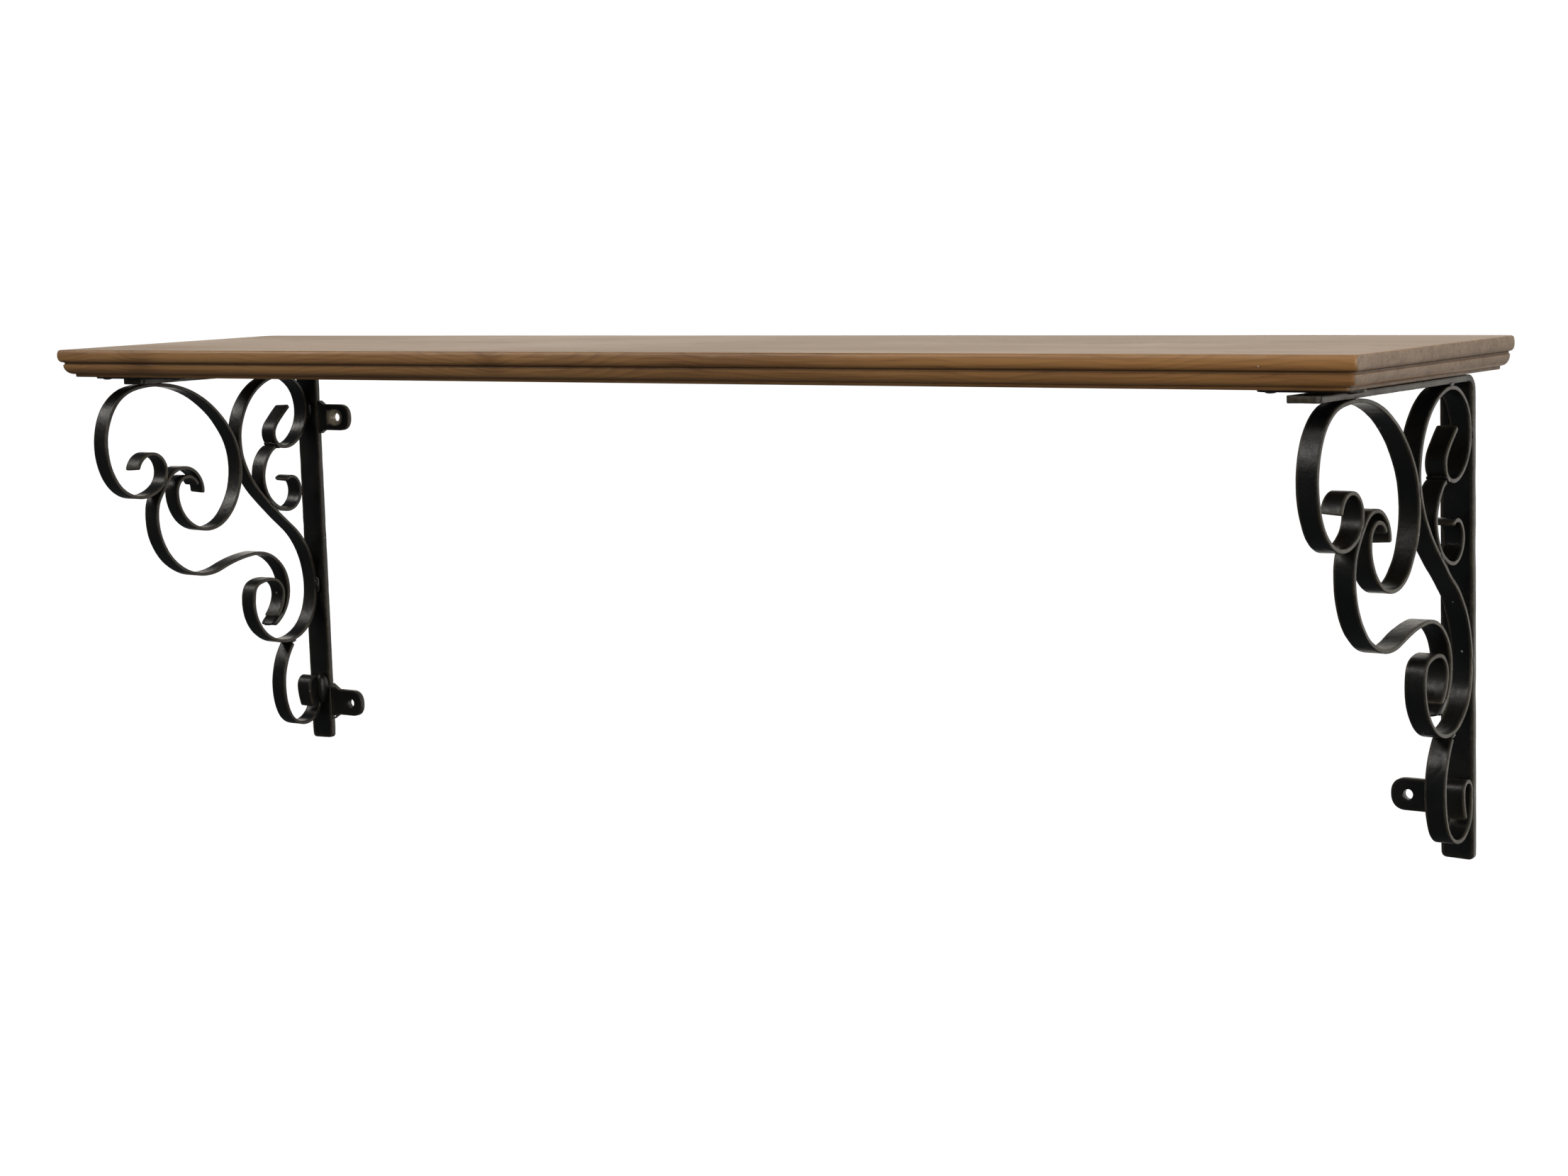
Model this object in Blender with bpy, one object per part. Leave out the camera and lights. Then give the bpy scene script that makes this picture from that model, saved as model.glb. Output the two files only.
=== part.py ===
"""Wall shelf: a moulded plank on two wrought scroll brackets.

Metres, +Z up. X runs along the wall, the wall face is the plane Y = 0 and the
room is at -Y. The origin is the middle of the plank's back edge, half way up
its thickness. Lengths below are in millimetres and are turned into metres
where the meshes are made.
"""

import math

import bmesh
import bpy
from mathutils import Matrix, Vector

MM = 0.001
GAP = 0.3  # air left between pieces that touch

# Plank
BOARD_LENGTH = 1236.0
BOARD_DEPTH = 258.0
BOARD_THICK = 24.0
CORNER_RADIUS = 2.5  # of the front corners, in plan
CORNER_STEPS = 4
NOSE_HEIGHT = 10.7  # rounded band along the top of the moulding
NOSE_SWELL = 1.3  # how far the nose stands out over its two ends
QUIRK_INSET = 3.4  # foot of the small step under the nose
OVOLO_TOP = 12.4  # above the underside
OVOLO_FOOT = 2.8
OVOLO_INSET = 10.2
OVOLO_STEPS = 6

# Brackets: where they sit, measured from the ends of the plank
LEFT_INSET = 51.0
RIGHT_INSET = 43.0

# Frame bar: one flat bar bent to an L
FRAME_WIDTH = 25.4
FRAME_THICK = 5.0
FRAME_DROP = 355.0  # underside of the plank to the foot of the leg
LEFT_ARM_REACH = 218.0
RIGHT_ARM_REACH = 250.0
BEND_RADIUS = 9.5  # on the bar's centre line
FRAME_END_RADIUS = 4.0

# Plate across the arm's front end, which the plank is screwed to
PLATE_WIDTH = 20.0
PLATE_THICK = 2.5
PLATE_FORWARD = 215.0  # wall to the plate's middle
PLATE_SHIFT = 10.5  # the plate's middle from the arm's, toward the other bracket
LEFT_PLATE_LENGTH = 107.0
RIGHT_PLATE_LENGTH = 77.0  # shorter, to stop inside the plank's end
PLATE_SCREW_MARGIN = 9.0  # from the plate's end to its screw

# Ears on the leg, with the holes for the wall screws
EAR_REACH = 52.0  # leg's centre line to the tip
EAR_HEIGHT = 24.0
EAR_THICK = 5.0
EAR_HOLE_RADIUS = 3.8
EAR_SINK_RADIUS = 6.25
EAR_SINK_DEPTH = 2.45
UPPER_EAR_HOLE = 35.0  # leg's centre line to the hole
LOWER_EAR_HOLE = 38.5
LEFT_UPPER_EAR_DROP = 51.5
LEFT_LOWER_EAR_DROP = 319.5
RIGHT_LOWER_EAR_DROP = 311.0

# Scrolls: flat bar, bent flat-wise, its outer edge in line with the leg's
SCROLL_WIDTH = 15.9
SCROLL_THICK = 3.0
SCROLL_END_RADIUS = 1.6
SCROLL_OUTWARD = 0.5 * (FRAME_WIDTH - SCROLL_WIDTH)
EASE = 10.0  # length over which one bend runs into the next
MOST_TURN = 8.5  # degrees between two sections of a scroll's mesh
MOST_STEP = 9.0  # and their greatest spacing

# Wood screws that hold the plank to the plates
SCREW_SHANK_RADIUS = 1.9
SCREW_HOLE_RADIUS = 2.3
SCREW_HEAD_RADIUS = 4.0
SCREW_HEAD_HEIGHT = 2.2
SCREW_LENGTH = 18.0  # under the head
ROUND_STEPS = 20

# Each scroll's centre line, seen from the side with the wall on the right:
# where it starts (forward of the wall, under the plank), which way it sets off
# in degrees from level, and its bends in turn as (radius, degrees turned).
# A bend that turns left is positive.
SCROLLS = {
    # Large ring under the front of the arm, curled inward at both of its ends
    "front": {
        "start": (-218.0, -84.0),
        "heading": 80.0,
        "bends": [
            (16.5, -221.0),
            (35.5, -96.0),
            (57.5, -59.0),
            (42.5, -54.0),
            (119.5, -18.0),
            (105.0, -50.0),
            (59.0, -78.0),
            (35.5, -137.0),
            (12.5, -158.0),
        ],
    },
    # Hooks round the tail of the ring and sweeps back under it
    "middle": {
        "start": (-143.0, -110.0),
        "heading": 84.0,
        "bends": [
            (22.0, 148.0),
            (400.0, 3.0),
            (16.5, 24.0),
            (55.5, 121.0),
            (149.0, -16.0),
            (39.0, -52.0),
            (35.5, -105.0),
        ],
    },
    # The long S that runs from the arm down the leg
    "main": {
        "start": (-31.0, -39.0),
        "heading": -140.0,
        "bends": [
            (222.5, 6.0),
            (12.5, 119.0),
            (20.0, 36.0),
            (33.5, 170.0),
            (57.0, 102.0),
            (90.5, 21.0),
            (407.0, 7.0),
            (75.5, -64.0),
            (39.5, -186.0),
            (7.0, -50.0),
            (40.5, -26.0),
            (14.5, -95.0),
            (31.5, -39.0),
        ],
    },
    # Small curl between the long S and the leg
    "inner": {
        "start": (-49.0, -76.3),
        "heading": -183.0,
        "bends": [
            (6.5, 38.0),
            (32.0, 135.0),
            (16.5, 140.0),
            (9.0, 100.0),
        ],
    },
    # Curl that ends the bracket at the foot of the leg
    "foot": {
        "start": (-39.7, -260.0),
        "heading": -129.0,
        "bends": [
            (63.0, 61.0),
            (21.5, 156.0),
            (400.0, 2.0),
            (6.5, 184.0),
            (85.0, 14.0),
        ],
    },
}

UNDERSIDE = -0.5 * BOARD_THICK
ARM_TOP = UNDERSIDE - PLATE_THICK - 2 * GAP


# ---------------------------------------------------------------- materials

def principled(name, colour, roughness, metallic):
    material = bpy.data.materials.new(name)
    material.use_nodes = True
    shader = material.node_tree.nodes["Principled BSDF"]
    shader.inputs["Base Color"].default_value = (*colour, 1.0)
    shader.inputs["Roughness"].default_value = roughness
    shader.inputs["Metallic"].default_value = metallic
    material.diffuse_color = (*colour, 1.0)
    return material


# ------------------------------------------------------------------- meshes

def finish(mesh_name, bm, smooth_under=30.0):
    bmesh.ops.recalc_face_normals(bm, faces=bm.faces)
    mesh = bpy.data.meshes.new(mesh_name)
    bm.to_mesh(mesh)
    bm.free()
    mesh.shade_smooth()
    mesh.set_sharp_from_angle(angle=math.radians(smooth_under))
    return mesh


def place(name, mesh, material, location=(0.0, 0.0, 0.0), parent=None):
    piece = bpy.data.objects.new(name, mesh)
    piece.location = Vector(location) * MM
    piece.parent = parent
    bpy.context.scene.collection.objects.link(piece)
    if not mesh.materials:
        mesh.materials.append(material)
    return piece


def loft(name, rings):
    """Closed body through rings of points of equal count, flat at both ends."""
    bm = bmesh.new()
    rows = [[bm.verts.new(Vector(p) * MM) for p in ring] for ring in rings]
    for row, after in zip(rows, rows[1:]):
        for i in range(len(row)):
            j = (i + 1) % len(row)
            bm.faces.new((row[i], row[j], after[j], after[i]))
    bm.faces.new(list(reversed(rows[0])))
    bm.faces.new(rows[-1])
    return finish(name, bm)


def prism(name, outline, low, high, lift):
    """An outline of (u, v) points, carried from `low` to `high` by `lift`."""
    rings = [[lift(u, v, w) for u, v in outline] for w in (low, high)]
    return loft(name, rings)


def turned(name, profile, steps=ROUND_STEPS):
    """Body of revolution about Z from (radius, height), its ends on the axis."""
    bm = bmesh.new()
    rows = []
    for radius, height in profile:
        if radius == 0.0:
            rows.append([bm.verts.new(Vector((0, 0, height)) * MM)])
            continue
        row = []
        for k in range(steps):
            a = 2 * math.pi * k / steps
            at = Vector((radius * math.cos(a), radius * math.sin(a), height))
            row.append(bm.verts.new(at * MM))
        rows.append(row)
    for row, after in zip(rows, rows[1:]):
        for k in range(steps):
            n = (k + 1) % steps
            if len(row) == 1:
                bm.faces.new((row[0], after[k], after[n]))
            elif len(after) == 1:
                bm.faces.new((row[k], row[n], after[0]))
            else:
                bm.faces.new((row[k], row[n], after[n], after[k]))
    return finish(name, bm)


def cut(piece, mesh, location, rotation=None, parent=None):
    """Take the shape `mesh` out of `piece`."""
    cutter = bpy.data.objects.new(piece.name + "_cutter", mesh)
    cutter.location = Vector(location) * MM
    if rotation is not None:
        cutter.rotation_euler = rotation
    cutter.parent = parent
    cutter.hide_render = True
    cutter.display_type = "WIRE"
    bpy.context.scene.collection.objects.link(cutter)
    hole = piece.modifiers.new("hole", "BOOLEAN")
    hole.operation = "DIFFERENCE"
    hole.solver = "EXACT"
    hole.object = cutter


# ------------------------------------------------------------- bent flat bar

def bent_line(start, heading, bends):
    """Sections of a centre line of arcs, each as (y, z, direction).

    The direction at a point is the mean direction of the bare arcs over the
    ease on either side of it, so the bend grows and fades steadily where one
    radius meets the next.
    """
    lengths = [radius * math.radians(abs(turn)) for radius, turn in bends]
    knots = [0.0]
    turned_by = [0.0]
    for length, (radius, turn) in zip(lengths, bends):
        knots.append(knots[-1] + length)
        turned_by.append(turned_by[-1] + math.radians(turn))
    total = knots[-1]

    def turn_before(s):
        for a, b, low, high in zip(knots, knots[1:], turned_by, turned_by[1:]):
            if s <= b:
                return low + (high - low) * (s - a) / (b - a)
        return turned_by[-1]

    def direction(s):
        reach = min(s, total - s, 0.5 * EASE)
        parts = 8
        spread = [reach * (2 * k / parts - 1) for k in range(parts + 1)]
        weights = [0.5 if k in (0, parts) else 1.0 for k in range(parts + 1)]
        mean = sum(w * turn_before(s + d) for w, d in zip(weights, spread))
        return math.radians(heading) + mean / parts

    steps = int(total / 0.5)
    fine = total / steps
    y, z = start
    sections = [(y, z, direction(0.0))]
    last_s, last_direction = 0.0, sections[0][2]
    for k in range(steps):
        middle = direction((k + 0.5) * fine)
        y += fine * math.cos(middle)
        z += fine * math.sin(middle)
        s = (k + 1) * fine
        ahead = direction(s)
        turned_far = abs(ahead - last_direction) > math.radians(MOST_TURN)
        if turned_far or s - last_s > MOST_STEP or k == steps - 1:
            sections.append((y, z, ahead))
            last_s, last_direction = s, ahead
    return sections


def with_round_ends(sections, radius, steps):
    """Add sections near both ends, each with how much narrower the bar is."""
    def walk(end, inward, sign):
        y, z, direction = end
        for k in range(steps):
            a = 0.5 * math.pi * k / steps
            along = radius * (1 - math.cos(a))
            less = radius * (1 - math.sin(a))
            yield (
                y + sign * along * math.cos(direction),
                z + sign * along * math.sin(direction),
                direction,
                less,
            )
        y2, z2, direction2 = inward
        if math.hypot(y2 - y, z2 - z) > 1.3 * radius:
            yield (
                y + sign * radius * math.cos(direction),
                z + sign * radius * math.sin(direction),
                direction,
                0.0,
            )

    first = list(walk(sections[0], sections[1], 1.0))
    last = list(walk(sections[-1], sections[-2], -1.0))
    middle = [(y, z, d, 0.0) for y, z, d in sections[1:-1]]
    return first + middle + last[::-1]


def flat_bar(name, sections, width, thick):
    """Bar of rectangular section along (y, z, direction, narrower)."""
    rings = []
    for y, z, direction, less in sections:
        half = 0.5 * width - less
        ny = -math.sin(direction) * 0.5 * thick
        nz = math.cos(direction) * 0.5 * thick
        rings.append(
            [
                (half, y + ny, z + nz),
                (-half, y + ny, z + nz),
                (-half, y - ny, z - nz),
                (half, y - ny, z - nz),
            ]
        )
    return loft(name, rings)


def frame_sections(reach):
    """Arm from its front end to the wall, the bend, and the leg to its foot."""
    level = ARM_TOP - 0.5 * FRAME_THICK
    upright = -0.5 * FRAME_THICK
    foot = UNDERSIDE - FRAME_DROP
    sections = [(-reach, level, 0.0)]
    steps = 8
    for k in range(steps + 1):
        a = 0.5 * math.pi * k / steps
        y = upright - BEND_RADIUS * (1 - math.sin(a))
        z = level - BEND_RADIUS * (1 - math.cos(a))
        sections.append((y, z, -a))
    sections.append((upright, foot, -0.5 * math.pi))
    return sections


# -------------------------------------------------------------------- plank

def board_edge():
    """Edge section from the underside up, as (inset, height)."""
    fillet = OVOLO_INSET + 0.6
    points = [(fillet, 0.0), (fillet, OVOLO_FOOT - 0.3)]
    rise = OVOLO_TOP - OVOLO_FOOT
    swell = OVOLO_INSET - QUIRK_INSET
    for k in range(OVOLO_STEPS, -1, -1):
        a = 0.5 * math.pi * k / OVOLO_STEPS
        inset = QUIRK_INSET + swell * (1 - math.cos(a))
        points.append((inset, OVOLO_TOP - rise * math.sin(a)))
    nose_foot = BOARD_THICK - NOSE_HEIGHT
    points.append((QUIRK_INSET - 0.2, nose_foot - 0.4))
    nose_steps = 8
    for k in range(nose_steps + 1):
        t = k / nose_steps
        bulge = math.sin(math.pi * t ** 0.72) ** 0.7
        points.append((NOSE_SWELL * (1 - bulge), nose_foot + NOSE_HEIGHT * t))
    return points


def board_ring(inset, height):
    """Plan of the plank at one height: square at the back, round in front."""
    half = 0.5 * BOARD_LENGTH - inset
    front = -(BOARD_DEPTH - inset)
    z = UNDERSIDE + height
    ring = [(half, 0.0, z), (-half, 0.0, z)]
    for side, first in ((-1, 180.0), (1, 270.0)):
        cx = side * (half - CORNER_RADIUS)
        cy = front + CORNER_RADIUS
        for k in range(CORNER_STEPS + 1):
            a = math.radians(first + 90.0 * k / CORNER_STEPS)
            x = cx + CORNER_RADIUS * math.cos(a)
            y = cy + CORNER_RADIUS * math.sin(a)
            ring.append((x, y, z))
    return ring


def make_board(material):
    rings = [board_ring(inset, height) for inset, height in board_edge()]
    return place("shelf_board", loft("shelf_board", rings), material)


# ------------------------------------------------------------ small pieces

def round_ended(length, width, steps=8):
    """Outline of a strip with round ends, its length along u."""
    r = 0.5 * width
    outline = []
    for side in (1, -1):
        for k in range(steps + 1):
            a = math.pi * (k / steps - 0.5)
            u = side * (0.5 * length - r + r * math.cos(a))
            outline.append((u, side * r * math.sin(a)))
    return outline


def ear_outline(steps=12):
    """D-shaped ear: square against the leg, round at its tip, u outward."""
    r = 0.5 * EAR_HEIGHT
    outline = [(0.5 * FRAME_WIDTH + GAP, r), (0.5 * FRAME_WIDTH + GAP, -r)]
    for k in range(steps + 1):
        a = math.pi * (k / steps - 0.5)
        u = EAR_REACH - r + r * math.cos(a)
        outline.append((u, r * math.sin(a)))
    return outline


def make_ear(name, inward, drop, hole, sunk, material, bracket):
    """Ear on the leg's inner edge, flush with the wall, with a round hole."""
    outline = [(inward * u, v) for u, v in ear_outline()]

    def lift(u, v, w):
        return (u, -w, v)

    mesh = prism(name, outline, 0.0, EAR_THICK, lift)
    piece = place(name, mesh, material, (0, 0, UNDERSIDE - drop), bracket)
    past = 2.0
    mouth = EAR_SINK_RADIUS if sunk else EAR_HOLE_RADIUS
    profile = [
        (0.0, -past),
        (EAR_HOLE_RADIUS, -past),
        (EAR_HOLE_RADIUS, EAR_THICK - EAR_SINK_DEPTH),
        (mouth, EAR_THICK),
        (mouth, EAR_THICK + past),
        (0.0, EAR_THICK + past),
    ]
    cutter = turned(name + "_cutter", profile, 28)
    at = (inward * hole, 0, UNDERSIDE - drop)
    cut(piece, cutter, at, (math.radians(90), 0, 0), bracket)
    return piece


def screw_places(length, inward):
    half = 0.5 * length - PLATE_SCREW_MARGIN
    return inward * PLATE_SHIFT - half, inward * PLATE_SHIFT + half


def make_plate(name, length, inward, material, bracket):
    def lift(u, v, w):
        return (u + inward * PLATE_SHIFT, v - PLATE_FORWARD, w)

    top = UNDERSIDE - GAP
    outline = round_ended(length, PLATE_WIDTH)
    mesh = prism(name, outline, top - PLATE_THICK, top, lift)
    piece = place(name, mesh, material, (0, 0, 0), bracket)
    hole = screw_hole_mesh(PLATE_THICK + 4.0)
    for x in screw_places(length, inward):
        at = (x, -PLATE_FORWARD, top - PLATE_THICK - 2)
        cut(piece, hole, at, None, bracket)
    return piece


def screw_hole_mesh(depth):
    r = SCREW_HOLE_RADIUS
    profile = [(0.0, 0.0), (r, 0.0), (r, depth), (0.0, depth)]
    return turned("screw_hole", profile)


def screw_mesh():
    """Round-head screw pointing up, its head's flat side at height 0."""
    r, h = SCREW_HEAD_RADIUS, SCREW_HEAD_HEIGHT
    steps = 4
    profile = [(0.0, -h)]
    for k in range(1, steps + 1):
        a = 0.5 * math.pi * k / steps
        profile.append((r * math.sin(a), -0.3 - (h - 0.3) * math.cos(a)))
    tip = 4.0
    profile += [
        (r, 0.0),
        (SCREW_SHANK_RADIUS, 0.0),
        (SCREW_SHANK_RADIUS, SCREW_LENGTH - tip),
        (0.0, SCREW_LENGTH),
    ]
    return turned("plate_screw", profile)


# ---------------------------------------------------------------- assembly

def make_bracket(side, shape, paint, board, screw, zinc):
    """One bracket; `outward` is the side of it, along X, the scrolls keep to."""
    outward = shape["outward"]
    bracket = bpy.data.objects.new(side + "_bracket", None)
    bracket.location = (shape["centre"] * MM, 0.0, 0.0)
    bpy.context.scene.collection.objects.link(bracket)

    bar = with_round_ends(frame_sections(shape["reach"]), FRAME_END_RADIUS, 4)
    name = side + "_frame_bar"
    mesh = flat_bar(name, bar, FRAME_WIDTH, FRAME_THICK)
    place(name, mesh, paint, (0, 0, 0), bracket)

    for which, line in SCROLLS.items():
        name = f"{side}_scroll_{which}"
        sections = bent_line(line["start"], line["heading"], line["bends"])
        ended = with_round_ends(sections, SCROLL_END_RADIUS, 2)
        mesh = flat_bar(name, ended, SCROLL_WIDTH, SCROLL_THICK)
        at = (outward * SCROLL_OUTWARD, 0, UNDERSIDE)
        place(name, mesh, paint, at, bracket)

    for which, drop, hole in shape["ears"]:
        name = f"{side}_ear_{which}"
        sunk = which == "upper"
        make_ear(name, -outward, drop, hole, sunk, paint, bracket)

    name = side + "_board_plate"
    make_plate(name, shape["plate"], -outward, paint, bracket)
    head_seat = UNDERSIDE - PLATE_THICK - 2 * GAP
    for number, x in enumerate(screw_places(shape["plate"], -outward), 1):
        at = (x, -PLATE_FORWARD, head_seat)
        place(f"{side}_plate_screw_{number}", screw, zinc, at, bracket)
        hole = screw_hole_mesh(SCREW_LENGTH + 1.5)
        cut(board, hole, (x, -PLATE_FORWARD, head_seat - 1), None, bracket)


def main():
    for old in list(bpy.data.objects):
        bpy.data.objects.remove(old, do_unlink=True)

    wood = principled("walnut_stained_wood", (0.165, 0.095, 0.055), 0.42, 0.0)
    paint = principled("black_painted_iron", (0.012, 0.012, 0.013), 0.3, 0.0)
    zinc = principled("zinc_plated_steel", (0.55, 0.55, 0.53), 0.35, 1.0)

    board = make_board(wood)
    screw = screw_mesh()
    left = {
        "centre": -0.5 * BOARD_LENGTH + LEFT_INSET,
        "outward": -1,
        "reach": LEFT_ARM_REACH,
        "plate": LEFT_PLATE_LENGTH,
        "ears": [
            ("upper", LEFT_UPPER_EAR_DROP, UPPER_EAR_HOLE),
            ("lower", LEFT_LOWER_EAR_DROP, LOWER_EAR_HOLE),
        ],
    }
    right = {
        "centre": 0.5 * BOARD_LENGTH - RIGHT_INSET,
        "outward": 1,
        "reach": RIGHT_ARM_REACH,
        "plate": RIGHT_PLATE_LENGTH,
        "ears": [("lower", RIGHT_LOWER_EAR_DROP, LOWER_EAR_HOLE)],
    }
    make_bracket("left", left, paint, board, screw, zinc)
    make_bracket("right", right, paint, board, screw, zinc)


main()
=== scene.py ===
"""Wall shelf with brackets: a moulded, stained plank on wrought scroll brackets.

Run as a script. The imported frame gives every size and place, in metres.
"""

import math

import bmesh
import bpy
import numpy as np
from bpy.props import FloatProperty, PointerProperty, StringProperty
from bpy.types import Operator, Panel, PropertyGroup
from mathutils import Matrix, Vector


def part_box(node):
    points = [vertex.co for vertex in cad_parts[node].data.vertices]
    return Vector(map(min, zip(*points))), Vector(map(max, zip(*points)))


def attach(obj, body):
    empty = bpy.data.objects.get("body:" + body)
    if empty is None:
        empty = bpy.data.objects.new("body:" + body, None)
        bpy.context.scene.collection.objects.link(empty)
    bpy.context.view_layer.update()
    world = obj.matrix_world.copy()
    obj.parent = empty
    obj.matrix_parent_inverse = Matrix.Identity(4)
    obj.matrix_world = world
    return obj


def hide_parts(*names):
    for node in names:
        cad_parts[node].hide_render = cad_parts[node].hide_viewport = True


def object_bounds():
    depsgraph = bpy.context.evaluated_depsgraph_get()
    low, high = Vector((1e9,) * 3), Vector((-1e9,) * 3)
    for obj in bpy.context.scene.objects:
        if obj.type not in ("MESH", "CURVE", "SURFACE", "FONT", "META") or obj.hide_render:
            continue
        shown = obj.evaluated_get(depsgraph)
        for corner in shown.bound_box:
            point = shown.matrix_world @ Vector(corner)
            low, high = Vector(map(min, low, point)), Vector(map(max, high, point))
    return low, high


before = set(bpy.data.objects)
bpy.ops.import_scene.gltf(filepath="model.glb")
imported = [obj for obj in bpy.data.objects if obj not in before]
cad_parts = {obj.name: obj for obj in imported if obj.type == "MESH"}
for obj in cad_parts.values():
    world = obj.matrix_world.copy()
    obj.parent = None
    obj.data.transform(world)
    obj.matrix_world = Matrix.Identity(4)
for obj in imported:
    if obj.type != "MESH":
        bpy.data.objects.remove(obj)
CAD_BOX = [list(corner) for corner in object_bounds()]

bl_info = {
    "name": "Wall shelf with scroll brackets",
    "version": (1, 0, 0),
    "blender": (4, 5, 0),
    "location": "3D View > Sidebar > Shelf",
    "description": "Builds a stained plank on painted scroll brackets",
    "category": "Add Mesh",
}

MM = 0.001
SIDES = {"left": -1.0, "right": 1.0}  # the way the scrolls keep to, along X
EASE = 10.0  # mm over which one bend of a scroll runs into the next

# Each scroll's centre line in millimetres: start (y, z under the plank),
# heading in degrees, and (radius, degrees turned) for each bend in turn.
SCROLL_LINES = {
    "front": (
        (-218.0, -84.0), 80.0,
        ((16.5, -221.0), (35.5, -96.0), (57.5, -59.0), (42.5, -54.0), (119.5, -18.0),
         (105.0, -50.0), (59.0, -78.0), (35.5, -137.0), (12.5, -158.0)),
    ),
    "middle": (
        (-143.0, -110.0), 84.0,
        ((22.0, 148.0), (400.0, 3.0), (16.5, 24.0), (55.5, 121.0), (149.0, -16.0),
         (39.0, -52.0), (35.5, -105.0)),
    ),
    "main": (
        (-31.0, -39.0), -140.0,
        ((222.5, 6.0), (12.5, 119.0), (20.0, 36.0), (33.5, 170.0), (57.0, 102.0),
         (90.5, 21.0), (407.0, 7.0), (75.5, -64.0), (39.5, -186.0), (7.0, -50.0),
         (40.5, -26.0), (14.5, -95.0), (31.5, -39.0)),
    ),
    "inner": (
        (-49.0, -76.3), -183.0,
        ((6.5, 38.0), (32.0, 135.0), (16.5, 140.0), (9.0, 100.0)),
    ),
    "foot": (
        (-39.7, -260.0), -129.0,
        ((63.0, 61.0), (21.5, 156.0), (400.0, 2.0), (6.5, 184.0), (85.0, 14.0)),
    ),
}


# ---- node sizes

def centre_of(node):
    low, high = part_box(node)
    return 0.5 * (low + high)


def size_of(node):
    low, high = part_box(node)
    return high - low


BOARD_LOW, BOARD_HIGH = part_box("shelf_board")
UNDERSIDE = BOARD_LOW.z


# ---- settings

class PlankSettings(PropertyGroup):
    """Shape and stain of the plank."""

    quirk: FloatProperty(
        name="Quirk",
        description="Depth of the step under the nose of the moulding",
        default=3.4 * MM, unit="LENGTH",
    )
    ovolo: FloatProperty(
        name="Ovolo",
        description="How far the lower moulding runs back at the underside",
        default=10.2 * MM, unit="LENGTH",
    )
    worn: FloatProperty(
        name="Wear",
        description="Depth of the dents and of the unevenness of the edges",
        default=0.55 * MM, unit="LENGTH",
    )
    light_stain: StringProperty(
        name="Early wood", description="sRGB hex colour", default="9A7348"
    )
    dark_stain: StringProperty(
        name="Late wood", description="sRGB hex colour", default="67472A"
    )


class IronSettings(PropertyGroup):
    """Bars of the brackets and their paint."""

    frame_thick: FloatProperty(
        name="Frame bar thickness",
        description="Thickness of the bar of the arm and the leg",
        default=5.0 * MM, unit="LENGTH",
    )
    scroll_thick: FloatProperty(
        name="Scroll bar thickness",
        description="Thickness of the bar of the scrolls",
        default=3.0 * MM, unit="LENGTH",
    )
    hammering: FloatProperty(
        name="Hammering",
        description="Height of the forge marks on the bars",
        default=0.16 * MM, unit="LENGTH",
    )
    paint: StringProperty(
        name="Paint", description="sRGB hex colour", default="070808"
    )
    # Colour of the rubbed arrises, which also stands as a painted highlight.
    worn_edge_and_highlight: StringProperty(
        name="Worn edge", description="sRGB hex colour", default="625B4A"
    )


class StageSettings(PropertyGroup):
    """Floor, light and camera."""

    floor_drop: FloatProperty(
        name="Floor",
        description="Height of the floor below the foot of the brackets",
        default=2.2, unit="LENGTH",
    )
    lens: FloatProperty(
        name="Lens", description="Focal length in millimetres", default=69.6
    )


# ---- materials

TIMES, PLUS = {"operation": "MULTIPLY"}, {"operation": "ADD"}
TIMES_PLUS = {"operation": "MULTIPLY_ADD"}
SMOOTH = {"interpolation_type": "SMOOTHSTEP"}
BLEND = {"data_type": "RGBA"}
RESULT = 2  # the colour that a Mix node gives


def linear(hex_colour):
    """sRGB hex to the linear colour that a shader takes."""
    parts = [int(hex_colour[i : i + 2], 16) / 255 for i in (0, 2, 4)]
    low = [c / 12.92 for c in parts]
    high = [((c + 0.055) / 1.055) ** 2.4 for c in parts]
    return (*[a if c <= 0.04045 else b for c, a, b in zip(parts, low, high)], 1.0)


def add(tree, kind, settings, inputs, output=0):
    """Add a node, with its settings and its inputs, in order or by name.

    An input is a value or another node's output, which is linked. The node's
    own output is given back, or the node itself when it has none.
    """
    node = tree.nodes.new("ShaderNode" + kind)
    for key, value in settings.items():
        setattr(node, key, value)
    keyed = inputs.items() if isinstance(inputs, dict) else enumerate(inputs)
    for key, value in keyed:
        if isinstance(value, bpy.types.NodeSocket):
            tree.links.new(value, node.inputs[key])
        else:
            node.inputs[key].default_value = value
    return node.outputs[output] if node.outputs else node


def new_material(name):
    """A material with no nodes yet, its tree, and the place on the piece."""
    material = bpy.data.materials.new(name)
    material.use_nodes = True
    tree = material.node_tree
    tree.nodes.clear()
    return material, tree, add(tree, "TexCoord", {}, (), "Object")


def skinned(material, skin):
    """The material, ended in a shader that has these inputs."""
    tree = material.node_tree
    shader = add(tree, "BsdfPrincipled", {}, skin)
    add(tree, "OutputMaterial", {"is_active_output": True}, {"Surface": shader})
    return material


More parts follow.
